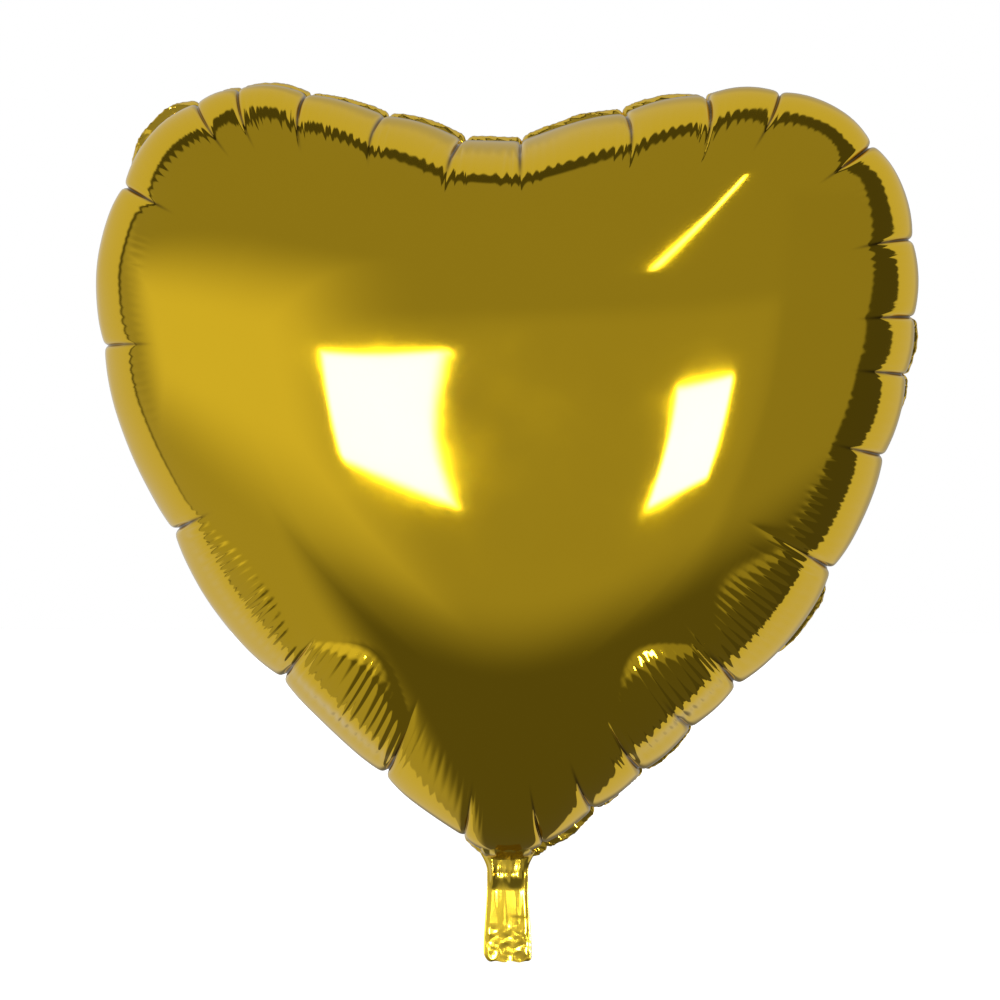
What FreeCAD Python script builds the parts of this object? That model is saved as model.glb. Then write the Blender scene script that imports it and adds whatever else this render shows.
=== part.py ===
"""Heart-shaped foil balloon, inflated, as separate films and heat-sealed welds. Millimetres.

Frame: +Z up, the front faces -Y, and the origin is at the neck, where a ribbon is tied and the
filler tail folds. The balloon is two metallised films sealed round their edge. A flat filler tail
hangs from the heart's tip, and a two-ply self-sealing valve runs from the middle of the tail,
through the neck, up into the gas space. The real films are about 0.03 mm thick. They are thicker
here, so that each one is a sound solid.
"""
import FreeCAD
import Part
import math
import os

Vec = FreeCAD.Vector

# Envelope: the inflated heart.
# One half of the widest outline, (x, z), from the neck, round the lobe, to the notch.
HALF_OUTLINE = [(0, 10), (10, 11), (47, 37), (88, 72), (126, 109), (159, 163), (181, 218), (187, 272),
                (177, 322), (149, 352), (108, 361), (63, 350), (24, 336), (0, 331)]
CENTRE_Z = 222.0            # the thickest point, on the axis of symmetry
HALF_DEPTH = 76.0           # from the seam plane to the outside of either panel, at its middle
PANEL_T = 0.5               # how far a panel's inner face is drawn in, across the outline and in depth
SEAM_PINCH = 6.0            # the seam lies this far inside the widest outline
PINCH_SHARE = 0.26          # the outline is widest at this share of the half depth
LEVELS = [0.0, 0.08, 0.17, 0.28, 0.42, 0.57, 0.72, 0.84, 0.93, 0.98, 0.996]   # contours, by half depth

# Shape of the bulge. A film that can't stretch stands higher at its edge than a membrane does:
# where the membrane has a share u of its full bulge, the film has (1 - (1 - u) ** A) ** B.
PROFILE_A = 1.5
PROFILE_B = 0.53
SPOKES = 56                 # points round each contour, an even number
RINGS = 14                  # rings of the membrane grid, from the centre to the seam
SWEEPS = 400                # relaxation sweeps of the membrane grid
OVER_RELAX = 1.8            # each step goes this many times as far as plain relaxation would

# Seam: the heat-sealed band round the edge.
FLANGE_T = 0.3
FLANGE_OUT = 7.0            # width outside the seam line
FLANGE_IN = 1.2             # width inside it, under the panels' rims
ARM_OUT = 0.5               # the band's arms stand out this far past the neck's edges
ARM_UP = 4.0                # and reach this far above the neck's films, into the band

# Neck and filler tail.
NECK_W = 19.5
MOUTH_W = 22.0
WELD_W = 1.6                # width of the tail's two side welds
TAIL_FILM_T = 0.2
NECK_END_Z = 2.0            # the neck's films stop here, clear of the folding tail
NECK_TOP_Z = 20.0           # and reach this far up, into the panels' rims
TAIL_TOP_Z = -0.5
TAIL_END_Z = -41.0
MOUTH_CORNER_R = 4.0
CORNER_CHORDS = 6

# Self-sealing valve: two thin plies, welded along their long edges.
VALVE_W = 15.0
VALVE_PLY_T = 0.08
VALVE_GAP = 0.03            # from the mid-plane to either ply
VALVE_WELD_W = 1.2
VALVE_TAIL_END_Z = -24.0
VALVE_NECK_TOP_Z = 30.0     # above here the gas space is wide enough for the sleeve to sway
SLEEVE_ROOT_Z = 31.0
SLEEVE_TOP_Z = 91.0
ANCHOR_H = 2.5              # height of the weld that holds the valve's lower end to the tail


def closed_outline():
    """The widest outline as SPOKES points, from the neck up the right side, and down the left."""
    curve = Part.BSplineCurve()
    curve.interpolate([Vec(x, 0, z) for x, z in HALF_OUTLINE])
    half = [(p.x, p.z) for p in curve.discretize(Number=SPOKES // 2 + 1)]
    return half + [(-x, z) for x, z in half[-2:0:-1]]


def on_spoke(outline, i, share):
    """The point that lies this share of the way from the centre to outline point i."""
    x, z = outline[i % SPOKES]
    return (share * x, CENTRE_Z + share * (z - CENTRE_Z))


def grid_triangles():
    """The triangles of the membrane grid, each as three (ring, spoke) corners."""
    triangles = []
    for i in range(SPOKES):
        triangles.append(((0, i), (1, i), (1, i + 1)))
        for ring in range(1, RINGS):
            triangles.append(((ring, i), (ring + 1, i), (ring + 1, i + 1)))
            triangles.append(((ring, i), (ring + 1, i + 1), (ring, i + 1)))
    return triangles


def edge_weights(corners):
    """Half the cotangent of the angle at each corner of a triangle, and the triangle's area."""
    (ax, az), (bx, bz), (cx, cz) = corners
    area = abs((bx - ax) * (cz - az) - (bz - az) * (cx - ax)) / 2
    weights = []
    for k in range(3):
        p, q, r = corners[k], corners[(k + 1) % 3], corners[(k + 2) % 3]
        dot = (q[0] - p[0]) * (r[0] - p[0]) + (q[1] - p[1]) * (r[1] - p[1])
        weights.append(dot / (4 * area))
    return weights, area


def grid_node(ring, i):
    """The number of a grid point: 0 at the centre, then ring by ring."""
    return 0 if ring == 0 else 1 + (ring - 1) * SPOKES + i % SPOKES


def membrane_system(outline):
    """The load on each free grid point, and its weighted links to its neighbours."""
    free = grid_node(RINGS, 0)                  # points from here on lie on the seam and stay at 0
    links = [{} for _ in range(free)]
    load = [0.0] * free
    for triangle in grid_triangles():
        nodes = [grid_node(*corner) for corner in triangle]
        places = [on_spoke(outline, i, ring / RINGS) for ring, i in triangle]
        weights, area = edge_weights(places)
        for k in range(3):
            a, b = nodes[(k + 1) % 3], nodes[(k + 2) % 3]
            if nodes[k] < free:
                load[nodes[k]] += area / 3
            for one, other in ((a, b), (b, a)):
                if one < free:
                    links[one][other] = links[one].get(other, 0.0) + weights[k]
    return load, links


def membrane(outline):
    """How far a pressed membrane bulges, as shares of the bulge at the centre: [ring][spoke]."""
    load, links = membrane_system(outline)
    bulge = [0.0] * grid_node(RINGS + 1, 0)
    for _ in range(SWEEPS):
        for n, near in enumerate(links):
            pull = sum(weight * bulge[other] for other, weight in near.items())
            settled = (load[n] + pull) / sum(near.values())
            bulge[n] += OVER_RELAX * (settled - bulge[n])
    return [[bulge[grid_node(ring, i)] / bulge[0] for i in range(SPOKES)] for ring in range(RINGS + 1)]


def bulge_at(level):
    """The membrane's bulge where an inflated film reaches this share of its half depth."""
    return 1 - (1 - level ** (1 / PROFILE_B)) ** (1 / PROFILE_A)


def contour(bulges, level):
    """The outline of the inflated panel at one level: the share of each spoke that it reaches."""
    target = bulge_at(level)
    shares = []
    for i in range(SPOKES):
        ring = RINGS
        while ring > 1 and bulges[ring - 1][i] < target:
            ring -= 1
        outer, inner = bulges[ring][i], bulges[ring - 1][i]
        along = (target - outer) / (inner - outer)
        shares.append((ring - along) / RINGS)
    return shares


def loop(points, y):
    """A smooth closed wire through (x, z) points at one depth."""
    curve = Part.BSplineCurve()
    curve.interpolate(Points=[Vec(x, y, z) for x, z in points], PeriodicFlag=True)
    return Part.Wire(curve.toShape())


def offset(points, by):
    """Closed (x, z) points moved outward, across the outline, by this much."""
    moved = []
    for i, (x, z) in enumerate(points):
        before, after = points[i - 1], points[(i + 1) % len(points)]
        dx, dz = after[0] - before[0], after[1] - before[1]
        length = math.hypot(dx, dz)
        moved.append((x + by * dz / length, z - by * dx / length))
    return moved


def dome(outline, contours, inset, side):
    """The solid under one inflated panel, drawn in by inset. side is -1 in front and +1 behind."""
    base = FLANGE_T / 2
    wires = []
    for level, shares in zip(LEVELS, contours):
        pinch = SEAM_PINCH * max(0.0, 1 - level / PINCH_SHARE) ** 2
        points = [on_spoke(outline, i, share) for i, share in enumerate(shares)]
        depth = base + level * (HALF_DEPTH - base - inset)
        wires.append(loop(offset(points, -pinch - inset), side * depth))
    return Part.makeLoft(wires, True)


def plate(outline, y0, y1):
    """A flat plate with an (x, z) outline, between two depths."""
    corners = [Vec(x, min(y0, y1), z) for x, z in outline]
    face = Part.Face(Part.makePolygon(corners + corners[:1]))
    return face.extrude(Vec(0, abs(y1 - y0), 0))


def strip(x0, x1, z0, z1, y0, y1):
    """An upright rectangular plate between two x, two z and two y."""
    return plate([(x0, z0), (x1, z0), (x1, z1), (x0, z1)], y0, y1)


def neck_tab(side):
    """The short flat part of a panel, between the heart's tip and the fold."""
    inner = side * FLANGE_T / 2
    outer = inner + side * TAIL_FILM_T
    return strip(-NECK_W / 2, NECK_W / 2, NECK_END_Z, NECK_TOP_Z, inner, outer)


def panel(outline, contours, side):
    """One of the two metallised films: an inflated shell with its neck tab."""
    shell = dome(outline, contours, 0.0, side).cut(dome(outline, contours, PANEL_T, side))
    return shell.fuse(neck_tab(side))


def seam_plate(seam, by):
    """A plate as thick as the seam, inside the seam line moved outward by this much."""
    return Part.Face(loop(offset(seam, by), -FLANGE_T / 2)).extrude(Vec(0, FLANGE_T, 0))


def seam_flange(outline):
    """The heat-sealed band: a flat heart-shaped ring, open at the neck, with an arm down each side."""
    seam = offset(outline, -SEAM_PINCH)
    half_t, half_neck = FLANGE_T / 2, NECK_W / 2
    below = NECK_END_Z - 2 * FLANGE_OUT
    band = seam_plate(seam, FLANGE_OUT).cut(seam_plate(seam, -FLANGE_IN))
    band = band.cut(strip(-half_neck, half_neck, below, NECK_TOP_Z + FLANGE_OUT, -FLANGE_T, FLANGE_T))
    band = band.cut(strip(-NECK_W, NECK_W, below, NECK_END_Z, -FLANGE_T, FLANGE_T))
    for x in (-1, 1):
        inner_x, outer_x = x * (half_neck - WELD_W), x * (half_neck + ARM_OUT)
        band = band.fuse(strip(inner_x, outer_x, NECK_END_Z, NECK_TOP_Z + ARM_UP, -half_t, half_t))
    return band


def tail_outline():
    """The tail's (x, z) outline, wider at the mouth, with two rounded corners in short chords."""
    top, mouth, r = NECK_W / 2, MOUTH_W / 2, MOUTH_CORNER_R
    points = [(top, TAIL_TOP_Z)]
    for x, start in ((1, 0), (-1, 90)):
        for k in range(CORNER_CHORDS + 1):
            angle = math.radians(start + 90 * k / CORNER_CHORDS)
            points.append((x * (mouth - r) + r * math.cos(angle), TAIL_END_Z + r - r * math.sin(angle)))
    return points + [(-top, TAIL_TOP_Z)]


def tail_film(side):
    """The tail's front or back film."""
    inner = side * FLANGE_T / 2
    return plate(tail_outline(), inner, inner + side * TAIL_FILM_T)


def tail_side_welds():
    """The welds down the tail's two edges, between its films, from the fold to the mouth's corners."""
    z_end = TAIL_END_Z + MOUTH_CORNER_R
    welds = []
    for x in (-1, 1):
        top, end = x * NECK_W / 2, x * MOUTH_W / 2
        inner_top, inner_end = top - x * WELD_W, end - x * WELD_W
        corners = [(top, TAIL_TOP_Z), (end, z_end), (inner_end, z_end), (inner_top, TAIL_TOP_Z)]
        welds.append(plate(corners, -FLANGE_T / 2, FLANGE_T / 2))
    return Part.makeCompound(welds)


def valve_ply(side, z0, z1):
    """A stretch of one valve ply."""
    inner = side * VALVE_GAP
    return strip(-VALVE_W / 2, VALVE_W / 2, z0, z1, inner, inner + side * VALVE_PLY_T)


def sleeve_welds():
    """The welds down the sleeve's two long edges, between its plies."""
    edge = VALVE_W / 2
    welds = []
    for x in (-1, 1):
        inner_x, outer_x = x * (edge - VALVE_WELD_W), x * edge
        welds.append(strip(inner_x, outer_x, SLEEVE_ROOT_Z, SLEEVE_TOP_Z, -VALVE_GAP, VALVE_GAP))
    return Part.makeCompound(welds)


def anchor_welds():
    """The two welds that hold the valve's lower end to the tail's films."""
    z0, z1 = VALVE_TAIL_END_Z, VALVE_TAIL_END_Z + ANCHOR_H
    ply, film = VALVE_GAP + VALVE_PLY_T, FLANGE_T / 2
    edge = VALVE_W / 2
    return Part.makeCompound([strip(-edge, edge, z0, z1, side * ply, side * film) for side in (-1, 1)])


def build():
    """Every node of the balloon, by name."""
    outline = closed_outline()
    bulges = membrane(outline)
    contours = [contour(bulges, level) for level in LEVELS]
    neck_z = (NECK_END_Z, VALVE_NECK_TOP_Z)
    tail_z = (VALVE_TAIL_END_Z, TAIL_TOP_Z)
    sleeve_z = (SLEEVE_ROOT_Z, SLEEVE_TOP_Z)
    return {
        "front_panel": panel(outline, contours, -1),
        "back_panel": panel(outline, contours, 1),
        "seam_flange": seam_flange(outline),
        "valve_neck_front_ply": valve_ply(-1, *neck_z),
        "valve_neck_back_ply": valve_ply(1, *neck_z),
        "valve_sleeve_front_ply": valve_ply(-1, *sleeve_z),
        "valve_sleeve_back_ply": valve_ply(1, *sleeve_z),
        "valve_sleeve_welds": sleeve_welds(),
        "tail_front_film": tail_film(-1),
        "tail_back_film": tail_film(1),
        "tail_side_welds": tail_side_welds(),
        "valve_tail_front_ply": valve_ply(-1, *tail_z),
        "valve_tail_back_ply": valve_ply(1, *tail_z),
        "valve_anchor_welds": anchor_welds(),
    }


os.makedirs("parts", exist_ok=True)
for name, shape in build().items():
    box = shape.BoundBox
    print(f"{name}: valid {shape.isValid()}, {len(shape.Solids)} solids, {shape.Volume:.1f} mm3, "
          f"x {box.XMin:.1f}..{box.XMax:.1f}, y {box.YMin:.2f}..{box.YMax:.2f}, "
          f"z {box.ZMin:.1f}..{box.ZMax:.1f}")
    shape.exportStep(f"parts/{name}.step")
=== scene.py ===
"""Looks of the heart-shaped foil balloon: crimped mirror-bright film, a crinkled seam and a creased tail.

Lengths are in metres, in the frame's axes. The panels are built on a grid of rings and spokes: a
spoke leaves the seam square to it and bends in to the middle, and a ring is a distance over the
film from the seam. A bearing is an angle about the heart's middle, in degrees clockwise from up.
"""
import math

import bpy
import numpy as np
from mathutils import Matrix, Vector


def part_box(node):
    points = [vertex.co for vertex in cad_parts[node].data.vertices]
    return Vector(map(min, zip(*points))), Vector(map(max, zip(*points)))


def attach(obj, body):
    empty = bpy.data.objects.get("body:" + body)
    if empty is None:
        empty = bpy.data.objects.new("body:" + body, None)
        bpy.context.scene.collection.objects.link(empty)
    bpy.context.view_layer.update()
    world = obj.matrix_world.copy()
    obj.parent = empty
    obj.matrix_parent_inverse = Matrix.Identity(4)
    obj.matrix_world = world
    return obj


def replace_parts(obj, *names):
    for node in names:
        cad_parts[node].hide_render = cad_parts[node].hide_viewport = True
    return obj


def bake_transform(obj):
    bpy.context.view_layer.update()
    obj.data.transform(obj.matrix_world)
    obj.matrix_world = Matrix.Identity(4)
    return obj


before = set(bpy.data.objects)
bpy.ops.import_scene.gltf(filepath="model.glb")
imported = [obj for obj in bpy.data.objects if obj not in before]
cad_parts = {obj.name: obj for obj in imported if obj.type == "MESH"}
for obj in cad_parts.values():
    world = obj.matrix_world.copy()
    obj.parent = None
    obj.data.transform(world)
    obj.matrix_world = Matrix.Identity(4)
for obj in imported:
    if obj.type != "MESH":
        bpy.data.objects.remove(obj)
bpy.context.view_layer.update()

MM = 0.001
RNG = np.random.default_rng(18)

# ---- The heart's outline, seen from the front, from the neck up the right side and down the left.
OUTLINE = MM * np.array([
    (0, 9), (10, 10.5), (28, 22), (50, 38), (89, 73), (126, 109), (157, 158), (178, 215), (185.5, 270),
    (178, 314), (156, 344), (113, 358.5), (72, 352), (34, 342), (-8, 333.5), (-40, 342), (-68, 350),
    (-119, 360), (-152, 346), (-176, 313), (-185.5, 270), (-178, 217), (-156, 165), (-121, 109),
    (-83, 72), (-46, 38), (-24, 21), (-10, 10.5)])
MIDDLE = np.array((0.0, 0.222))         # the deepest point of both panels
NOTCH_X = -8 * MM                       # the creases by the notch fan out from this line
WIDEST_OVER = 2.5 * MM                  # the film's own edge lies this far outside the widest outline
PINCH_SHARE = 0.26                      # share of the half depth at which the pinch ends
PROFILE_A, PROFILE_B = 1.5, 0.53        # height of a film over a membrane's bulge u: (1 - (1 - u)^A)^B
HALF_DEPTH = -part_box("front_panel")[0].y
HALF_SEAM = 0.15 * MM                   # half the thickness of the heat-sealed seam

# ---- The seam: bearing, how far it lies inside the widest outline, how far its edge leans back.
SEAM = [
    (0, 3.6, 44), (14, 3.4, 38), (28, 3.8, 46), (36, 5.5, 66), (50, 6, 78), (76, 6, 70), (82, 6, 30),
    (90, 6, 30), (97, 6, 72), (118, 6, 75), (124, 5.5, 25), (131, 5.5, 30), (138, 6, 62), (150, 6, 40),
    (157, 5.5, 22), (164, 6, 45), (171, 5, 10), (180, 5, 20), (188, 6, 50), (197, 6, 78), (298, 6, 80),
    (303, 4.0, 30), (309, 3.2, 14), (314, 5.2, 62), (324, 5.4, 50), (331, 4.8, 44), (340, 4.0, 42),
    (350, 3.6, 44)]

# ---- The grid.
SPOKES = 1800
NEAR_RINGS = np.concatenate([np.linspace(0, 15, 8), np.linspace(15, 58, 16)[1:],
                             np.linspace(58, 98, 17)[1:]]) * MM
FAR_RINGS = 16                          # rings from there to the middle
SAMPLES = 320                           # points along a spoke from which its rings are picked
CROWDING, CROWDED_WIDTH = 1.7, 4.5 * MM  # spokes stand this much closer by a crease, this far about it
LEAD_LEAST, LEAD_MORE, LEAD_OVER = 0.005, 0.05, 0.08  # how far a spoke goes square to the seam, by its x
FAN_SPREAD, FAN_DROP = 0.5, 0.048       # at the notch spokes spread by this share, and start downward by this
FAN_WIDTH, FAN_HEIGHT = (0.015, 0.075), (0.25, 0.30)  # where that fades out sideways, and fades in upward

# ---- Creases: bearing, length over the film in mm, depth at the rim in mm, sideways drift per length.
CREASES = [
    (3, 92, 1.8, 0.0), (22, 78, 2.2, -0.1), (33, 84, 3.4, -0.1), (42, 50, 1.8, 0.0),
    (56, 58, 2.8, 0.0), (70, 50, 2.0, 0.05), (80, 56, 2.2, 0.0), (88, 54, 2.0, 0.0), (100, 50, 2.0, 0.0),
    (119, 84, 3.2, 0.05), (142, 88, 3.2, 0.06), (151, 30, 1.6, 0.0), (160, 84, 2.4, 0.0),
    (168, 30, 1.8, 0.0), (175, 26, 1.6, 0.0), (186, 26, 1.2, 0.0), (198, 80, 3.0, 0.0),
    (218, 76, 3.0, 0.0), (247, 62, 3.0, 0.0), (276, 46, 1.6, 0.0), (298, 54, 2.2, 0.0),
    (313, 40, 1.6, 0.0), (319, 56, 1.8, 0.05), (327, 78, 2.0, 0.08), (337, 70, 1.8, 0.08),
    (351, 94, 3.2, 0.1)]
CREASE_WIDTH, CREASE_WIDENS, CREASE_ROUND = 0.75 * MM, 0.012, 0.2 * MM  # at the rim, per length, rounding
SLIT_END, SHADE_END = (0.028, 0.050), (0.040, 0.060)  # where the slit fades out, and where its shade does
SHADE_WIDTH, FULL_SHADE_DEPTH = 0.8 * MM, 2.0  # a crease of this depth, in mm, or more is fully shaded
LINE_SHARE = 0.34                       # share of its depth that a crease keeps past its slit
HOLLOW_SHARE, HOLLOW_WIDTH = 0.3, 9 * MM  # the broad hollow about each crease
WRINKLE_DEPTH, WRINKLE_WIDTH, WRINKLE_START = 0.38 * MM, 0.7 * MM, (0.026, 0.036)  # thin ones beside it
PUFF_HEIGHT, PUFF_SPACING = 2.1 * MM, 0.065  # the rim's swelling between creases that far apart
RIM_FADE = 0.030                        # the rim's swellings and hollows fade out over this much film

# ---- Fine pleats: bearing, depth, where over the film they start and end, all three in mm. The ends
# count only at bearings of 52.5 to 119: elsewhere pleat_relief takes them from PILLOWS.
PLEATS = [
    (0, 0.50, 34, 96), (8, 0.40, 34, 92), (16, 0.28, 34, 76), (26, 0.20, 32, 70), (40, 0.26, 30, 50),
    (56, 0.16, 30, 46), (76, 0.30, 30, 50), (104, 0.42, 32, 58), (116, 0.50, 33, 66), (121, 0.62, 34, 70),
    (140, 0.62, 34, 70), (144, 0.62, 34, 78), (158, 0.62, 34, 78), (161, 0.08, 32, 42),
    (178, 0.05, 30, 42), (197, 0.06, 30, 42), (199, 0.72, 34, 70), (216, 0.72, 34, 70),
    (220, 0.95, 40, 66), (245, 0.95, 40, 66), (249, 0.06, 34, 56), (262, 0.05, 34, 52),
    (275, 0.22, 30, 50), (281, 0.22, 30, 48), (285, 0.05, 30, 46), (298, 0.06, 30, 46),
    (302, 0.34, 26, 46), (316, 0.40, 27, 48), (332, 0.42, 30, 56), (345, 0.30, 34, 76),
    (352, 0.50, 34, 96)]
PLEAT_PITCH = 4.5 * MM
CRIMP_PITCH, CRIMP_HEIGHT, CRIMP_FADE = 5.4 * MM, 0.55 * MM, 0.006  # the smaller pleats right at the seam

# ---- Pillows between two creases: their bearings, how far over the film they reach, their height, in mm.
PILLOWS = [(119, 142, 76, 1.1), (142, 160, 82, 2.8), (198, 218, 80, 2.8), (218, 247, 66, 1.2)]

# ---- Unevenness of the film, and of the seam's run round the heart.
WAVES, WAVE_LENGTH, WAVE_HEIGHT = 7, (0.07, 0.16), 0.035 * MM
WANDERS, WANDER_TURNS, WANDER_SIZE = 9, (5, 40), 1.6 * MM

# ---- The seam's ribbon: rows of points, width, how far it starts inside the film, its large and small folds.
RIBBON_ROWS, RIBBON_WIDTH, RIBBON_UNDER = 9, 7.0 * MM, 1.2 * MM
FOLD_PITCH, FOLD_HEIGHT = 8.5 * MM, 2.0 * MM
CRINKLE_PITCH, CRINKLE_HEIGHT = 3.6 * MM, 0.9 * MM
NECK_GAP = 8.6 * MM                     # half of the ribbon's gap for the neck

# ---- Tail.
TAIL_TOP_Z, TAIL_END_Z = 0.024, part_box("tail_front_film")[0].z
NECK_HALF_W = 9.4 * MM
MOUTH_HALF_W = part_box("tail_front_film")[1].x
TIP_FLARE = 5.5 * MM                    # each side of the neck widens by this into the heart's tip
LEFT_CORNER, RIGHT_CORNER = 4.5 * MM, 2.4 * MM  # radii of the mouth's corners
FLAT_SHARE = 0.20                       # share of its folds that the tail keeps, so that it clears the heart

GOLD = (0.93, 0.61, 0.012)
SLIT_SHADE = (0.08, 0.04, 0.005)        # the film's colour in the shade of a crease's slit


# ======================================================================== small helpers
def smoothstep(x, low, high):
    """0 up to low, 1 from high on, and a smooth rise between them."""
    t = np.clip((x - low) / (high - low), 0.0, 1.0)
    return t * t * (3 - 2 * t)


def periodic_spline(points, count):
    """Points evenly spaced along a smooth closed curve through the given ones."""
    n = len(points)
    chord = np.linalg.norm(np.roll(points, -1, 0) - points, axis=1)
    knots = np.concatenate([[0], np.cumsum(chord)])
    system, rhs = np.zeros((n, n)), np.zeros((n, points.shape[1]))
    for i in range(n):
        before, after = chord[i - 1], chord[i]
        system[i, i - 1], system[i, i], system[i, (i + 1) % n] = before, 2 * (before + after), after
        rhs[i] = 6 * ((points[(i + 1) % n] - points[i]) / after - (points[i] - points[i - 1]) / before)
    bend = np.linalg.solve(system, rhs)

    def at(u):
        i = np.clip(np.searchsorted(knots, u, side="right") - 1, 0, n - 1)
        j, h = (i + 1) % n, chord[i][:, None]
        a, b = (knots[i + 1] - u)[:, None] / h, (u - knots[i])[:, None] / h
        curve = ((a ** 3 - a) * bend[i] + (b ** 3 - b) * bend[j]) * h ** 2 / 6
        return a * points[i] + b * points[j] + curve

    fine = at(np.linspace(0, knots[-1], 8 * count + 1))
    run = np.concatenate([[0], np.cumsum(np.linalg.norm(np.diff(fine, axis=0), axis=1))])
    even = np.linspace(0, run[-1], count, endpoint=False)
    return np.stack([np.interp(even, run, fine[:, k]) for k in range(2)], 1)


def crowded(points, spots, count):
    """Points along a dense closed curve, closer together about the spots, with how far along each is."""
    run = np.concatenate([[0], np.cumsum(np.linalg.norm(np.roll(points, -1, 0) - points, axis=1))])
    perimeter, gap = run[-1], wrapped(run[:-1, None] - np.array(spots)[None], run[-1])
    density = 1 + CROWDING * np.exp(-(gap / CROWDED_WIDTH) ** 2).sum(1)
    filled = np.concatenate([[0], np.cumsum(density * np.diff(run))])
    at = np.interp(np.linspace(0, filled[-1], count, endpoint=False), filled, run)
    closed = np.vstack([points, points[:1]])
    return np.stack([np.interp(at, run, closed[:, k]) for k in range(2)], 1), at, perimeter


def outward(points):
    """Unit vectors across a closed anticlockwise outline, pointing out of it."""
    along = np.roll(points, -1, 0) - np.roll(points, 1, 0)
    across = np.stack([along[:, 1], -along[:, 0]], 1)
    return across / np.linalg.norm(across, axis=1)[:, None]


def wrapped(x, length):
    """Distances round a closed line of this length, each the shorter way, with its sign."""
    return (x + length / 2) % length - length / 2


def bearings(points):
    """The points' bearings about the heart's middle."""
    away = points - MIDDLE
    return np.degrees(np.arctan2(away[:, 0], away[:, 1])) % 360


def around(table, column, angles):
    """A column of a table of bearings, spread smoothly round the heart."""
    rows = sorted(table)
    return np.interp(angles, [r[0] for r in rows], [r[column] for r in rows], period=360)


def mesh_piece(name, verts, faces, material, smooth=True):
    """A new object in the scene."""
    mesh = bpy.data.meshes.new(name)
    mesh.from_pydata([tuple(v) for v in verts], [], [tuple(f) for f in faces])
    mesh.update()
    mesh.polygons.foreach_set("use_smooth", [smooth] * len(mesh.polygons))
    mesh.materials.append(material)
    piece = bpy.data.objects.new(name, mesh)
    bpy.context.scene.collection.objects.link(piece)
    return piece


def grid_faces(rows, columns, closed, flip=False):
    """Quads over a grid of points. closed joins the last column to the first."""
    r, c = np.meshgrid(np.arange(rows - 1), np.arange(columns if closed else columns - 1), indexing="ij")
    r, c = r.ravel(), c.ravel()
    d = (c + 1) % columns
    quads = np.stack([r * columns + c, r * columns + d, (r + 1) * columns + d, (r + 1) * columns + c], 1)
    return quads[:, ::-1] if flip else quads


# ======================================================================== the smooth bulge
class Membrane:
    """The bulge u of a pressed membrane over the outline, 0 at its edge and 1 at its highest.

    u is a paraboloid plus a harmonic part, which is a sum of logarithms about points outside.
    """
    SOURCES, FITTED, STAND_OFF = 170, 680, 0.026

    def __init__(self, edge):
        fit = edge[:: max(1, len(edge) // self.FITTED)]
        seats = edge[:: max(1, len(edge) // self.SOURCES)]
        self.sources = seats + outward(edge)[:: max(1, len(edge) // self.SOURCES)] * self.STAND_OFF
        self.weights, self.top = np.zeros(len(self.sources) + 1), 1.0
        columns = np.hstack([self._logs(fit), np.ones((len(fit), 1))])
        target = ((fit - MIDDLE) ** 2).sum(1) / 4
        self.weights = np.linalg.lstsq(columns, target, rcond=1e-9)[0]
        self.top = self.raw(MIDDLE + np.stack([np.zeros(81), np.linspace(-0.04, 0.04, 81)], 1)).max()

    def _logs(self, points):
        """The logarithm of each point's distance from each source."""
        gap = points[:, None, :] - self.sources[None]
        return 0.5 * np.log((gap ** 2).sum(2))

    def raw(self, points):
        """The bulge before it is scaled, in blocks of points to save memory."""
        out = np.empty(len(points))
        for start in range(0, len(points), 20000):
            part = points[start:start + 20000]
            out[start:start + 20000] = (self._logs(part) @ self.weights[:-1] + self.weights[-1]
                                        - ((part - MIDDLE) ** 2).sum(1) / 4)
        return out

    def share(self, points):
        """The bulge u, from 0 to 1."""
        return np.clip(self.raw(points) / self.top, 0.0, 1.0)

    def height(self, points):
        """How far a film stands from the seam's plane."""
        return HALF_DEPTH * (1 - (1 - self.share(points)) ** PROFILE_A) ** PROFILE_B


def spoke_points(edge, out, t):
    """Points on every spoke, at t [ring, spoke] from 0 at the edge to 1 in the middle: [ring, spoke, 2]."""
    lead = LEAD_LEAST + LEAD_MORE * np.tanh(np.abs(edge[:, 0]) / LEAD_OVER)
    square = -out * lead[:, None]
    from_notch = edge[:, 0] - NOTCH_X
    fanned = np.stack([FAN_SPREAD * from_notch, np.full(len(edge), -FAN_DROP)], 1)
    share = (1 - smoothstep(np.abs(from_notch), *FAN_WIDTH)) * smoothstep(edge[:, 1], *FAN_HEIGHT)
    bend = edge + square + (fanned - square) * share[:, None]
    t = t[..., None]
    return (1 - t) ** 2 * edge + 2 * t * (1 - t) * bend + t ** 2 * MIDDLE


def bulge_points(membrane, edge, out, tuck, t):
    """The bulge before it is crimped, at t [ring, spoke], drawn in at the seam: [ring, spoke, 3]."""
    flat = spoke_points(edge, out, t)
    high = membrane.height(flat.reshape(-1, 2)).reshape(flat.shape[:2])
    high[0] = 0.0
    pinch = tuck[None] * np.clip(1 - high / HALF_DEPTH / PINCH_SHARE, 0, 1) ** 2
    flat = flat - out[None] * pinch[..., None]
    return np.stack([flat[..., 0], high, flat[..., 1]], 2)


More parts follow.
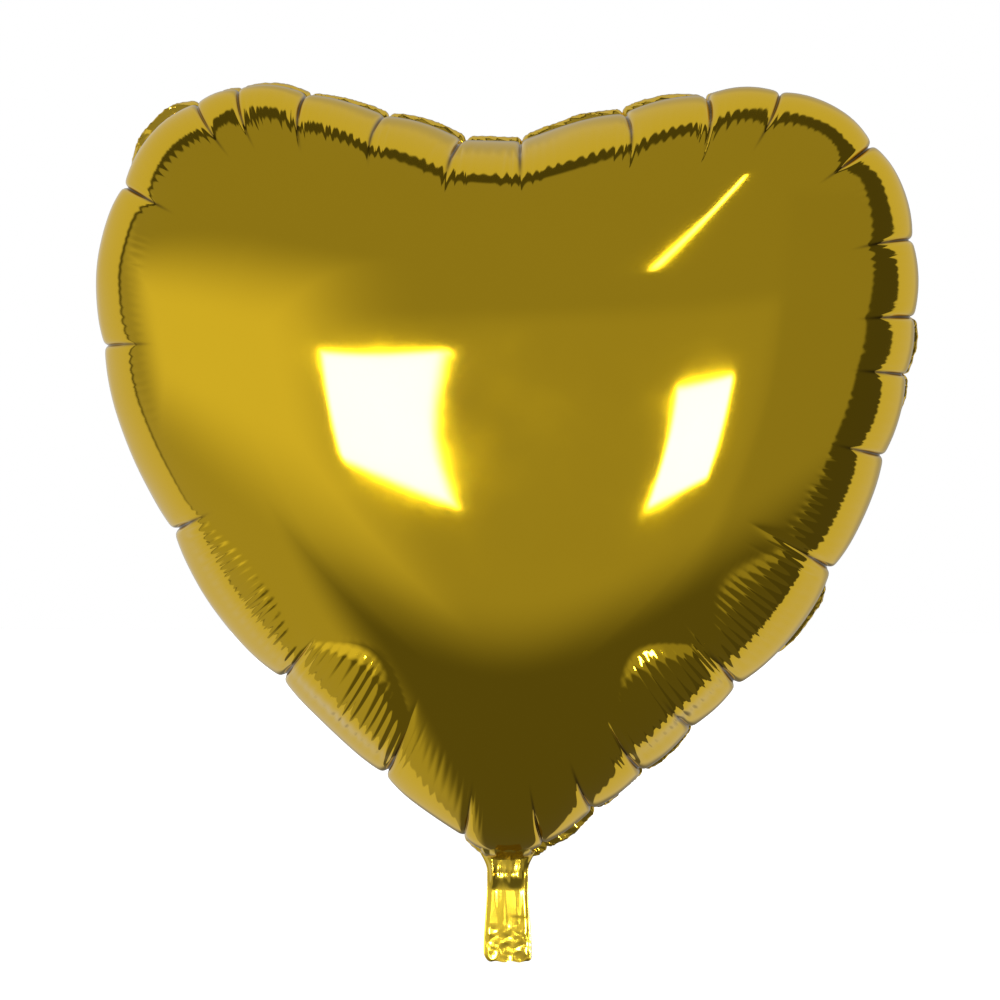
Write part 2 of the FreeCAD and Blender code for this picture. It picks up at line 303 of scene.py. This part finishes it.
def smooth_grid(membrane, edge, out, tuck):
    """The bulge's points at the rings [ring, spoke, 3], and their distance over the film."""
    t = np.linspace(0, 1, SAMPLES)[:, None] ** 2
    fine = bulge_points(membrane, edge, out, tuck, t)
    step = np.linalg.norm(np.diff(fine, axis=0), axis=2)
    over = np.concatenate([np.zeros((1, len(edge))), np.cumsum(step, 0)])
    reach = np.empty((len(NEAR_RINGS) + FAR_RINGS, len(edge)))
    at = np.empty_like(reach)
    for k in range(len(edge)):
        near = NEAR_RINGS * min(1.0, 0.9 * over[-1, k] / NEAR_RINGS[-1])
        reach[:, k] = np.concatenate([near, np.linspace(near[-1], over[-1, k], FAR_RINGS + 1)[1:]])
        at[:, k] = np.interp(reach[:, k], over[:, k], t[:, 0])
    return bulge_points(membrane, edge, out, tuck, at), reach


def grid_normals(grid):
    """Unit normals of a closed grid, pointing out of the bulge, and square to the seam at its rim."""
    along = np.roll(grid, -1, 1) - np.roll(grid, 1, 1)
    inward = np.gradient(grid, axis=0)
    normal = np.cross(inward, along)
    normal /= np.maximum(np.linalg.norm(normal, axis=2), 1e-12)[..., None]
    flip = np.sign((normal[len(NEAR_RINGS)] * (0, 1, 0)).sum(1)).mean()
    normal *= flip
    normal[-1] = (0, 1, 0)
    return normal


# ======================================================================== creases and pleats
def between(run, perimeter, spots):
    """For each place along the edge, the spots before and after it."""
    spots = np.sort(spots)
    before = np.searchsorted(spots, run, side="right") - 1
    low = np.where(before < 0, spots[-1] - perimeter, spots[before])
    high = np.concatenate([spots, [spots[0] + perimeter]])[before + 1]
    return low, high


def puff_relief(run, reach, perimeter, spots):
    """The rounded swelling of the rim between each crease and the next."""
    low, high = between(run, perimeter, spots)
    puff = np.sin(np.pi * np.clip((run - low) / (high - low), 0, 1)) ** 0.75
    size = PUFF_HEIGHT * np.clip((high - low) / PUFF_SPACING, 0.25, 1.2)
    return (puff * size)[None] * np.exp(-(reach / RIM_FADE) ** 2)


def crease_relief(run, reach, perimeter, angles, rng):
    """How the creases move the film, and how much shade is painted into their slits: a slit at the rim, then
    thin wrinkles.
    """
    relief, painted_slit_shade = np.zeros_like(reach), np.zeros_like(reach)
    for bearing, length, depth, drift in CREASES:
        centre = run[np.argmin(np.abs(wrapped(angles - bearing, 360)))]
        long = length * MM
        aside = wrapped(run[None] - centre, perimeter) - drift * reach
        sharp = CREASE_WIDTH + CREASE_WIDENS * reach
        cusp = np.exp(-(np.sqrt(aside ** 2 + CREASE_ROUND ** 2) - CREASE_ROUND) / sharp)
        slit = 1 - smoothstep(reach, *SLIT_END)
        line = LINE_SHARE * (1 - smoothstep(reach, 0.6 * long, long))
        relief -= depth * MM * cusp * np.maximum(slit, line)
        # Painted shade: the film's colour darkens along each crease's slit near the rim, the more for a
        # deeper crease.
        shade = (1 - smoothstep(reach, *SHADE_END)) * np.exp(-(aside / SHADE_WIDTH) ** 2)
        painted_slit_shade = np.maximum(painted_slit_shade, shade * min(1.0, depth / FULL_SHADE_DEPTH))
        hollow = np.exp(-(aside / HOLLOW_WIDTH) ** 2) * np.exp(-(reach / RIM_FADE) ** 2)
        relief -= HOLLOW_SHARE * depth * MM * hollow
        for side in (-2, -1, 1, 2):
            spread_out = side * (rng.uniform(1.5, 2.6) * MM + rng.uniform(0.02, 0.05) * reach)
            window = smoothstep(reach, *WRINKLE_START) * (
                1 - smoothstep(reach, 0.5 * long, long * rng.uniform(0.75, 1.0)))
            relief -= WRINKLE_DEPTH * window * np.exp(-np.abs(aside - spread_out) / WRINKLE_WIDTH)
    return relief, painted_slit_shade


def across_pillow(angles, first, last):
    """How far from a pillow's first bearing to its last each angle is, 0 to 1, and an arch over the pillow.

    The share stays 1 past the last bearing, up to half a turn from the pillow's middle.
    """
    share = np.clip(wrapped(angles - (first + last) / 2, 360) / (last - first) + 0.5, 0, 1)
    return share, np.sin(np.pi * share)


def pillow_end(end, arch):
    """How far over the film a pillow reaches, furthest in the middle of its arch."""
    return end * MM * (0.80 + 0.20 * arch)


def pillow_relief(reach, angles):
    """Swellings whose inner ends are rounded, between pairs of long creases."""
    relief = np.zeros_like(reach)
    for first, last, end, height in PILLOWS:
        _, arch = across_pillow(angles, first, last)
        stop = pillow_end(end, arch)
        body = smoothstep(reach, 0.030, 0.046) * (1 - smoothstep(reach, stop - 0.007, stop + 0.002))
        relief += height * MM * body * arch ** 0.35
    return relief


def pleat_ridges(run, perimeter, pitch, rng, unevenness=0.3):
    """Rounded ridges with sharp valleys, unevenly spaced, and how strong each one is."""
    count = int(perimeter / pitch)
    steps = rng.uniform(1 - unevenness, 1 + unevenness, count)
    edges = np.concatenate([[0], np.cumsum(steps)]) * perimeter / steps.sum()
    index = np.clip(np.searchsorted(edges, run, side="right") - 1, 0, count - 1)
    part = (run - edges[index]) / (edges[index + 1] - edges[index])
    return np.sin(np.pi * part) ** 0.85 - 0.62, rng.uniform(0.45, 1.25, count)[index]


def pleat_relief(run, reach, perimeter, angles, rng):
    """How far the fine pleats move the film, outward."""
    ridge, strength = pleat_ridges(run, perimeter, PLEAT_PITCH, rng)
    depth = around(PLEATS, 1, angles) * MM * strength
    start = around(PLEATS, 2, angles) * MM + 3 * MM * (strength - 0.85)
    end = around(PLEATS, 3, angles) * MM + 6 * MM * (strength - 0.85)
    for first, last, reaches, _ in PILLOWS:
        share, arch = across_pillow(angles, first, last)
        end = np.where(share > 0, pillow_end(reaches, arch), end)   # on the pillow, and past it
    window = smoothstep(reach, start - 0.009, start + 0.002) * (1 - smoothstep(reach, end - 0.007, end))
    seam_ridge, seam_strength = pleat_ridges(run, perimeter, CRIMP_PITCH, rng)
    at_seam = CRIMP_HEIGHT * seam_ridge * seam_strength
    crimp = np.exp(-(reach / CRIMP_FADE) ** 2) * smoothstep(reach, 0.0, 0.0015)
    return (depth * ridge)[None] * window + at_seam[None] * crimp


def slow_waves(grid, rng):
    """A faint unevenness of the whole film, so that reflections aren't perfectly smooth."""
    wave = np.zeros(grid.shape[:2])
    for _ in range(WAVES):
        heading, length, phase = rng.uniform(0, np.pi), rng.uniform(*WAVE_LENGTH), rng.uniform(0, 6.28)
        across = grid[..., 0] * math.cos(heading) + grid[..., 2] * math.sin(heading)
        wave += np.sin(2 * np.pi * across / length + phase)
    return WAVE_HEIGHT * wave


def seam_wander(run, perimeter, rng):
    """How far the seam strays in front of its plane and behind it."""
    turns = rng.integers(*WANDER_TURNS, WANDERS)
    phases, sizes = rng.uniform(0, 6.28, WANDERS), 1.0 / np.sqrt(turns)
    waves = [s * np.sin(2 * np.pi * t * run / perimeter + p) for t, p, s in zip(turns, phases, sizes)]
    return WANDER_SIZE * sum(waves)


# ======================================================================== pieces of the envelope
class Heart:
    """Everything that the two panels and the seam share."""
    def __init__(self):
        rough = periodic_spline(OUTLINE, 8 * SPOKES)
        dense = rough + outward(rough) * WIDEST_OVER
        dense_angles = bearings(dense)
        dense_run = np.concatenate([[0], np.cumsum(np.linalg.norm(np.diff(dense, axis=0), axis=1))])
        spots = [dense_run[np.argmin(np.abs(wrapped(dense_angles - c[0], 360)))] for c in CREASES]
        edge, self.run, self.perimeter = crowded(dense, spots, SPOKES)
        self.membrane = Membrane(dense)
        self.out = outward(edge)
        self.angles = bearings(edge)
        tuck = around(SEAM, 1, self.angles) * MM
        self.base, self.reach = smooth_grid(self.membrane, edge, self.out, tuck)
        self.normal = grid_normals(self.base)
        self.normal[0] = np.stack([self.out[:, 0], np.zeros(SPOKES), self.out[:, 1]], 1)
        self.calm = smoothstep(np.hypot(edge[:, 0], edge[:, 1] - 0.01), 0.01, 0.05)
        self.wander = seam_wander(self.run, self.perimeter, RNG) * self.calm
        self.relief = puff_relief(self.run, self.reach, self.perimeter, np.array(spots))
        # self.slit holds how much shade is painted into the creases' slits, not their relief.
        creased, self.slit = crease_relief(self.run, self.reach, self.perimeter, self.angles, RNG)
        self.relief += creased
        self.relief += pillow_relief(self.reach, self.angles)
        from_tip = np.abs(self.base[..., 0]) + np.maximum(self.base[..., 2] - 0.012, 0)
        self.tip_calm = smoothstep(from_tip, 0.004, 0.03)

    def panel_points(self, side, rng):
        """The crimped film of one panel. side is -1 in front and 1 behind."""
        relief = self.relief + pleat_relief(self.run, self.reach, self.perimeter, self.angles, rng)
        relief += slow_waves(self.base, rng) * smoothstep(self.reach, 0.0, 0.03)
        relief[0] = self.relief[0]
        points = self.base + self.normal * (relief * self.tip_calm)[..., None]
        points[..., 1] = np.maximum(points[..., 1], 0.0) + HALF_SEAM
        points[..., 1] *= side
        points[..., 1] += self.wander * np.exp(-(self.reach / 0.02) ** 2)
        return points


def panel(heart, name, side, seed, material):
    """One inflated panel, whose last ring is a single point."""
    points = heart.panel_points(side, np.random.default_rng(seed))
    rings = len(points) - 1
    verts = np.vstack([points[:rings].reshape(-1, 3), points[rings].mean(0)[None]])
    faces = [tuple(f) for f in grid_faces(rings, SPOKES, True, flip=side > 0)]
    first, tip = (rings - 1) * SPOKES, rings * SPOKES
    for i in range(SPOKES):
        j = (i + 1) % SPOKES
        faces.append((first + i, first + j, tip)[::-1 if side > 0 else 1])
    piece = mesh_piece(name, verts, faces, material)
    # The slit attribute carries the painted shade of the creases' slits to the foil's colour.
    slit = piece.data.attributes.new("slit", "FLOAT", "POINT")
    slit.data.foreach_set("value", np.append(heart.slit[:rings].ravel(), 0.0))
    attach(piece, "envelope")
    return piece


def seam_ribbon(heart, material):
    """The heat-sealed edge: a narrow crinkled ribbon, open where the neck passes through."""
    ridge, strength = pleat_ridges(heart.run, heart.perimeter, FOLD_PITCH, RNG, 0.75)
    fine, fine_strength = pleat_ridges(heart.run, heart.perimeter, CRINKLE_PITCH, RNG, 0.7)
    base = heart.base[0][:, [0, 2]] + heart.out * (heart.relief[0] * heart.tip_calm[0])[:, None]
    lean = np.radians(around(SEAM, 2, heart.angles))
    grid = np.empty((RIBBON_ROWS, SPOKES, 3))
    for r, across in enumerate(np.linspace(-RIBBON_UNDER, RIBBON_WIDTH, RIBBON_ROWS)):
        share = max(0.0, across / RIBBON_WIDTH)
        slant = np.roll(fine * fine_strength, int(14 * share))
        rumple = FOLD_HEIGHT * ridge * strength * share + CRINKLE_HEIGHT * slant * share ** 0.5
        drawn = across * (1 - 0.16 * strength * share - 0.05 * fine * share)
        flat = base + heart.out * (drawn * np.cos(lean * share ** 0.5))[:, None]
        back = heart.wander + rumple + drawn * np.sin(lean * share ** 0.5)
        grid[r] = np.stack([flat[:, 0], back, flat[:, 1]], 1)
    kept = np.where(np.abs(base[:, 0]) + np.maximum(base[:, 1] - 0.02, 0) * 4 > NECK_GAP)[0]
    gap = int(np.argmax(np.diff(np.append(kept, kept[0] + SPOKES))))
    kept = np.roll(kept, -(gap + 1))
    grid = grid[:, kept]
    faces = grid_faces(RIBBON_ROWS, len(kept), False)
    piece = mesh_piece("sealed_edge", grid.reshape(-1, 3), faces, material)
    thick = piece.modifiers.new("film", "SOLIDIFY")
    thick.thickness, thick.offset = 0.2 * MM, 0.0
    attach(piece, "envelope")
    return piece


# ======================================================================== tail
def tent(t):
    """A wave of straight folds, from 0 to 1."""
    return 2 * np.abs(t - np.round(t))


def tail_half_width(z):
    """Half the tail's width: flared into the heart's tip, narrow at the fold, wider at the mouth."""
    flare = TIP_FLARE * smoothstep(z, 0.001, 0.016)
    widen = (MOUTH_HALF_W - NECK_HALF_W) * smoothstep(-z, 0.004, -TAIL_END_Z - 0.006)
    return NECK_HALF_W + flare + widen


def tail_corner(z, radius):
    """How far the mouth's rounded corner draws the edge in at this height."""
    deep = np.clip(TAIL_END_Z + radius - z, 0, radius)
    return radius - np.sqrt(np.maximum(radius ** 2 - deep ** 2, 0))


def tail_thickness(z):
    """Half the space between the two films, pinched shut at the fold."""
    swell = 0.6 * MM * smoothstep(z, 0.001, 0.010) + 0.5 * MM
    pinch = 1 - 0.6 * np.exp(-(z / 0.0016) ** 2)
    flat = 1 - 0.35 * smoothstep(-z, 0.012, 0.036)
    return swell * pinch * flat


def tail_rumple(x, z):
    """How far a film stands out: its folds, a puckered cross crease and a crumpled mouth."""
    broad = 1.6 * tent(x / 0.0092 + 9 * z + 0.22) + 0.5 * tent(x / 0.0056 - 13 * z + 0.6)
    narrow = 0.62 * tent(x / (0.0040 + 0.08 * np.maximum(z, 0)) + 0.1) * smoothstep(z, -0.020, -0.001)
    pucker = 0.45 * tent(x / 0.0027) * np.exp(-(z / 0.0030) ** 2)
    fold = 0.5 + 0.5 * np.tanh((z + 0.0195 + 0.1 * x) / 0.0005) * smoothstep(x, 0.0005, 0.0035)
    stray = 2.6 * MM * np.sin(430 * z + 260 * x + 1.0) + 1.3 * MM * np.sin(830 * x - 520 * z)
    crumpled = (tent((x + stray) / 0.0170 + z / 0.0094) + tent(x / 0.0130 - (z + stray) / 0.0100 + 0.3)
                + 0.35 * tent((x - stray) / 0.0060 + z / 0.0073))
    mouth = smoothstep(-z, 0.022, 0.028)
    return MM * ((broad + narrow) * (1 - 0.75 * mouth) + pucker + 0.5 * fold * (1 - mouth)
                 + 0.8 * crumpled * mouth)


def tail(heart, material):
    """The filler tail and the neck: one flattened tube with welded edges, gathered into the heart's tip."""
    rows, columns = 210, 140
    z = np.linspace(TAIL_TOP_Z, TAIL_END_Z + 0.1 * MM, rows)[:, None]
    turn = np.linspace(0, 2 * np.pi, columns, endpoint=False)[None]
    across = np.cos(turn)
    left, right = tail_corner(z, LEFT_CORNER), tail_corner(z, RIGHT_CORNER)
    x = across * tail_half_width(z) - np.where(across > 0, right * across, left * across)
    z = np.broadcast_to(z, x.shape)
    welded = smoothstep(1 - np.abs(across), 0.0, 0.24)
    side = np.where(np.sin(turn) < 0, -1.0, 1.0)
    pressed = FLAT_SHARE + (1 - FLAT_SHARE) * smoothstep(z, -0.008, 0.0)
    folds = tail_rumple(x, z) * pressed * (0.1 + 0.9 * welded) * (1 - smoothstep(z, 0.010, 0.018))
    y = side * (0.12 * MM + tail_thickness(z) * welded + folds)
    tip = heart.membrane.height(np.stack([x, z], 2).reshape(-1, 2)).reshape(x.shape)
    gathered = 1.1 * MM * tent(x / 0.0052 * (1 - 14 * np.maximum(z, 0)) + 0.25)
    lift = gathered * (1 - smoothstep(z, 0.010, 0.017)) - 1.2 * MM * smoothstep(z, 0.009, 0.017)
    onto_tip = side * np.maximum((tip * welded + lift) * smoothstep(tip, 0.0, 0.004), np.abs(y))
    y = np.where((z > 0) & (side * y < side * onto_tip), onto_tip, y)
    z = z + 0.3 * MM * np.sin(900 * x) * smoothstep(-z, 0.034, 0.041)
    grid = np.stack([x, y, z], 2)
    piece = mesh_piece("filler_tail", grid.reshape(-1, 3), grid_faces(rows, columns, True), material)
    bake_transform(piece)
    return piece


# ======================================================================== materials
def new_material(name):
    """A material, its nodes, its links and its shader."""
    material = bpy.data.materials.new(name)
    material.use_nodes = True
    nodes, links = material.node_tree.nodes, material.node_tree.links
    return material, nodes, links, nodes["Principled BSDF"]


def noise(nodes, links, scale, detail):
    """Noise from 0 to 1 that is fixed to the piece, finer at a larger scale."""
    place = nodes.new("ShaderNodeTexCoord")
    made = nodes.new("ShaderNodeTexNoise")
    made.inputs["Scale"].default_value = scale
    made.inputs["Detail"].default_value = detail
    links.new(place.outputs["Object"], made.inputs["Vector"])
    return made.outputs["Fac"]


def spread(nodes, links, value, low, high):
    """A noise value, 0 to 1, stretched to run from low to high."""
    made = nodes.new("ShaderNodeMapRange")
    made.inputs["From Min"].default_value, made.inputs["From Max"].default_value = 0.3, 0.7
    made.inputs["To Min"].default_value, made.inputs["To Max"].default_value = low, high
    links.new(value, made.inputs["Value"])
    return made.outputs["Result"]


def foil(name, base, rough, bump, bump_scale):
    """Metallised film: a gold mirror under clear plastic, with slight haze and unevenness, and shade painted
    where a piece marks its creases' slits.
    """
    material, nodes, links, shader = new_material(name)
    shader.inputs["Metallic"].default_value = 1.0
    shader.inputs["Coat Weight"].default_value = 0.34
    shader.inputs["Coat Roughness"].default_value = 0.04
    tone = nodes.new("ShaderNodeMix")
    tone.data_type = "RGBA"
    tone.inputs["A"].default_value = (*base, 1)
    tone.inputs["B"].default_value = (base[0] * 0.96, base[1] * 0.94, base[2] * 0.8, 1)
    links.new(noise(nodes, links, 14.0, 3.0), tone.inputs["Factor"])
    # Painted shade: the colour darkens towards SLIT_SHADE by the slit attribute, which marks the creases'
    # slits.
    shaded = nodes.new("ShaderNodeMix")
    shaded.data_type = "RGBA"
    shaded.inputs["B"].default_value = (*SLIT_SHADE, 1)
    slit = nodes.new("ShaderNodeAttribute")
    slit.attribute_name = "slit"
    links.new(tone.outputs["Result"], shaded.inputs["A"])
    links.new(slit.outputs["Fac"], shaded.inputs["Factor"])
    links.new(shaded.outputs["Result"], shader.inputs["Base Color"])
    haze = spread(nodes, links, noise(nodes, links, 30.0, 4.0), *rough)
    links.new(haze, shader.inputs["Roughness"])
    relief = nodes.new("ShaderNodeBump")
    relief.inputs["Strength"].default_value = bump
    relief.inputs["Distance"].default_value = 0.2 * MM
    links.new(noise(nodes, links, bump_scale, 4.0), relief.inputs["Height"])
    links.new(relief.outputs["Normal"], shader.inputs["Normal"])
    return material


def clear_film():
    """The valve's film: thin clear polyethylene, slightly milky."""
    material, nodes, links, shader = new_material("valve_polyethylene")
    shader.inputs["Base Color"].default_value = (0.92, 0.93, 0.95, 1)
    shader.inputs["Transmission Weight"].default_value = 0.7
    shader.inputs["IOR"].default_value = 1.5
    haze = spread(nodes, links, noise(nodes, links, 160.0, 3.0), 0.12, 0.3)
    links.new(haze, shader.inputs["Roughness"])
    return material


# ======================================================================== camera and studio
VIEW_TARGET = Vector((-0.0027, -0.015, 0.1723))
VIEW_AZIMUTH, VIEW_ELEVATION = 3.0, 3.0
VIEW_DISTANCE, VIEW_WIDTH = 1.9, 0.4534


def camera_place():
    """Where the camera is, and the direction to it from the point that it looks at."""
    a, e = math.radians(VIEW_AZIMUTH), math.radians(VIEW_ELEVATION)
    back = Vector((math.sin(a) * math.cos(e), -math.cos(a) * math.cos(e), math.sin(e)))
    return VIEW_TARGET + back * VIEW_DISTANCE, back


def add_camera():
    """A camera that sees VIEW_WIDTH at VIEW_TARGET."""
    data = bpy.data.cameras.new("camera")
    data.sensor_width = 36.0
    data.lens = data.sensor_width * VIEW_DISTANCE / VIEW_WIDTH
    camera = bpy.data.objects.new("camera", data)
    bpy.context.scene.collection.objects.link(camera)
    place, back = camera_place()
    camera.location = place
    camera.rotation_mode = "QUATERNION"
    camera.rotation_quaternion = back.to_track_quat("Z", "Y")
    bpy.context.scene.camera = camera


def camera_axes():
    """Towards the camera, to its right and up, as arrays."""
    back = np.array(camera_place()[1])
    right = np.array((-back[1], back[0], 0)) / math.hypot(back[0], back[1])
    return back, right, np.cross(back, right)


def chart(directions):
    """Directions as degrees away from the camera, rightward and upward, and as bearing and angle."""
    back, right, up = camera_axes()
    angle = np.degrees(np.arccos(np.clip(directions @ back, -1, 1)))
    turn = np.arctan2(directions @ right, directions @ up)
    return np.stack([angle * np.sin(turn), angle * np.cos(turn)], 1), np.degrees(turn) % 360, angle


# The studio is a neutral tent about the balloon. Places in it are degrees to the right of the camera
# and above it, as seen from the balloon. The cards: middle, width and height, grey, softness of edge.
TENT_GREY = 0.34
CARDS = [
    ((0, 52), (170, 82), 0.29, 3),          # overhead
    ((62, 0), (64, 80), 0.28, 4),           # right
    ((-75, -55), (84, 72), 0.38, 8),        # low on the left
    ((45, -85), (170, 112), 0.10, 9),       # dark floor cloth in front
    ((-52, 0), (62, 36), 0.68, 11)]         # bright fill on the left

# The softboxes: middle, width and height, turn, brightness, softness of edge as a share of the width.
SOFTBOXES = [
    ((-15.5, -3), (13.5, 14), 0, 38, 0.06),
    ((15.5, -8), (11.5, 13), 0, 38, 0.06),
    ((10, 35), (1.2, 32), 20, 14, 0.3)]
SOFTBOX_GRID = 18
SOFTBOX_DISTANCE = 5.0

# Black flags stand between the camera's half of the tent and its pale far half. In each bearing from
# the camera: how many degrees from the camera's direction the pale half starts, how wide the flag is.
FLAGS = [(0, 93, 9), (40, 90, 10), (85, 98, 24), (110, 101, 28), (126, 102, 14), (140, 102, 3),
         (158, 124, 0), (180, 150, 0), (202, 124, 0), (215, 102, 0), (260, 104, 2), (300, 93, 3),
         (320, 92, 9)]
FLAG_GREY, PALE_GREY = 0.07, 0.58
FLAG_EDGE = 1.2                         # softness of the flags' edges, in degrees
BEHIND = [((-0.5, 1, 0.15), 0.62), ((0.5, 1, -0.1), 0.40), ((0.1, 1, 0.7), 0.46), ((0, 1, -0.6), 0.16),
          ((0, 1, 0.05), 0.30)]            # cards behind the balloon: direction, grey


def mixed(grey, over, share):
    """A grey moved towards another by a share of the way."""
    return grey + (over - grey) * share


def tent_greys(directions):
    """The tent's grey in each direction."""
    spot, turn, angle = chart(directions)
    grey = np.full(len(directions), TENT_GREY)
    for middle, size, tone, soft in CARDS:
        inside = (np.array(size) / 2 - np.abs(spot - middle)).min(1)
        grey = mixed(grey, tone, smoothstep(inside, -soft, soft))
    start, wide = around(FLAGS, 1, turn), around(FLAGS, 2, turn)
    near_edge = start - wide
    flag = smoothstep(angle, near_edge - FLAG_EDGE, near_edge + FLAG_EDGE) * smoothstep(wide, 0.5, 2.0)
    grey = mixed(grey, FLAG_GREY, flag)
    grey = mixed(grey, PALE_GREY, smoothstep(angle, start - FLAG_EDGE, start + FLAG_EDGE))
    for direction, tone in BEHIND:
        near = directions @ (np.array(direction) / np.linalg.norm(direction))
        grey = mixed(grey, tone, smoothstep(near, 0.90, 0.99))
    return grey


def glow_material(name, strength):
    """Light that takes its colour from the mesh's own colour attribute."""
    material = bpy.data.materials.new(name)
    material.use_nodes = True
    nodes, links = material.node_tree.nodes, material.node_tree.links
    nodes.clear()
    colour = nodes.new("ShaderNodeAttribute")
    colour.attribute_name = "glow"
    light = nodes.new("ShaderNodeEmission")
    light.inputs["Strength"].default_value = strength
    out = nodes.new("ShaderNodeOutputMaterial")
    links.new(colour.outputs["Color"], light.inputs["Color"])
    links.new(light.outputs["Emission"], out.inputs["Surface"])
    return material


def glow_piece(name, verts, faces, greys, strength):
    """Part of the studio: it lights the balloon and shows in it, and the camera looks through it."""
    colours = np.repeat(greys[:, None], 3, 1)
    piece = mesh_piece(name, verts, faces, glow_material(name, strength))
    attribute = piece.data.color_attributes.new("glow", "FLOAT_COLOR", "POINT")
    attribute.data.foreach_set("color", np.hstack([colours, np.ones((len(colours), 1))]).ravel())
    piece.visible_camera = False
    piece.visible_shadow = False
    return piece


def add_tent():
    """A ball round the balloon that glows in the tent's greys."""
    rows, columns, radius = 300, 600, 7.0
    polar, turn = np.meshgrid(np.linspace(0, np.pi, rows), np.linspace(0, 2 * np.pi, columns, endpoint=False),
                              indexing="ij")
    ball = np.stack([np.sin(polar) * np.cos(turn), np.sin(polar) * np.sin(turn), np.cos(polar)], 2)
    ball = ball.reshape(-1, 3)
    glow_piece("tent", ball * radius, grid_faces(rows, columns, True), tent_greys(ball), 1.0)


def towards(spots):
    """Directions for places in the studio, in degrees: the inverse of chart."""
    back, right, up = camera_axes()
    angle = np.radians(np.hypot(spots[:, 0], spots[:, 1]))[:, None]
    turn = np.arctan2(spots[:, 0], spots[:, 1])[:, None]
    return np.cos(angle) * back + np.sin(angle) * (np.sin(turn) * right + np.cos(turn) * up)


def add_softboxes():
    """Glowing panels that curve round the balloon, soft at their edges."""
    share = np.linspace(0, 1, SOFTBOX_GRID)
    down, along = (a.ravel() for a in np.meshgrid(share, share, indexing="ij"))
    for index, (middle, (width, height), turn, power, softness) in enumerate(SOFTBOXES):
        x, y, slant = (along - 0.5) * width, (0.5 - down) * height, math.radians(turn)
        spots = np.stack([x * math.cos(slant) + y * math.sin(slant),
                          y * math.cos(slant) - x * math.sin(slant)], 1) + middle
        inside = np.minimum(np.minimum(along, 1 - along), np.minimum(down, 1 - down) * height / width)
        greys = 0.05 + 0.95 * smoothstep(inside, 0.0, softness)
        verts = np.array(VIEW_TARGET) + towards(spots) * SOFTBOX_DISTANCE
        glow_piece(f"softbox_{index}", verts, grid_faces(SOFTBOX_GRID, SOFTBOX_GRID, False), greys, power)


def add_floor():
    """A plain pale floor, well below the floating balloon."""
    size = 12.0
    material, _, _, shader = new_material("pale_floor")
    shader.inputs["Base Color"].default_value = (0.5, 0.5, 0.5, 1)
    shader.inputs["Roughness"].default_value = 0.9
    shader.inputs["Emission Color"].default_value = (1, 1, 1, 1)
    shader.inputs["Emission Strength"].default_value = 0.9
    z = -0.9
    corners = [(-size, -size, z), (size, -size, z), (size, size, z), (-size, size, z)]
    floor = mesh_piece("floor", corners, [(0, 1, 2, 3)], material, smooth=False)
    floor.visible_glossy = False


def add_world():
    """A plain white background, and plain colour handling."""
    world = bpy.data.worlds.new("world")
    bpy.context.scene.world = world
    world.use_nodes = True
    world.node_tree.nodes["Background"].inputs["Color"].default_value = (1, 1, 1, 1)
    world.node_tree.nodes["Background"].inputs["Strength"].default_value = 1.0
    bpy.context.scene.view_settings.view_transform = "Standard"


# ======================================================================== putting it together
def main():
    """Build the studio and the pieces, and say which CAD nodes each piece replaces."""
    gold = foil("gold_foil", GOLD, (0.03, 0.07), 0.03, 60.0)
    sealed = foil("sealed_gold_foil", (0.90, 0.60, 0.04), (0.05, 0.12), 0.25, 420.0)
    tail_foil = foil("tail_gold_foil", (0.94, 0.66, 0.05), (0.11, 0.19), 0.12, 300.0)
    heart = Heart()
    add_camera()
    add_world()
    add_tent()
    add_softboxes()
    add_floor()
    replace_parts(panel(heart, "front_film", -1, 3, gold), "front_panel")
    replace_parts(panel(heart, "back_film", 1, 4, gold), "back_panel")
    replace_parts(seam_ribbon(heart, sealed), "seam_flange")
    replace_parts(tail(heart, tail_foil), "tail_front_film", "tail_back_film", "tail_side_welds")
    valve = clear_film()
    for name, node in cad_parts.items():
        if name.startswith("valve_"):
            node.data.materials.clear()
            node.data.materials.append(valve)


main()
bpy.context.view_layer.update()
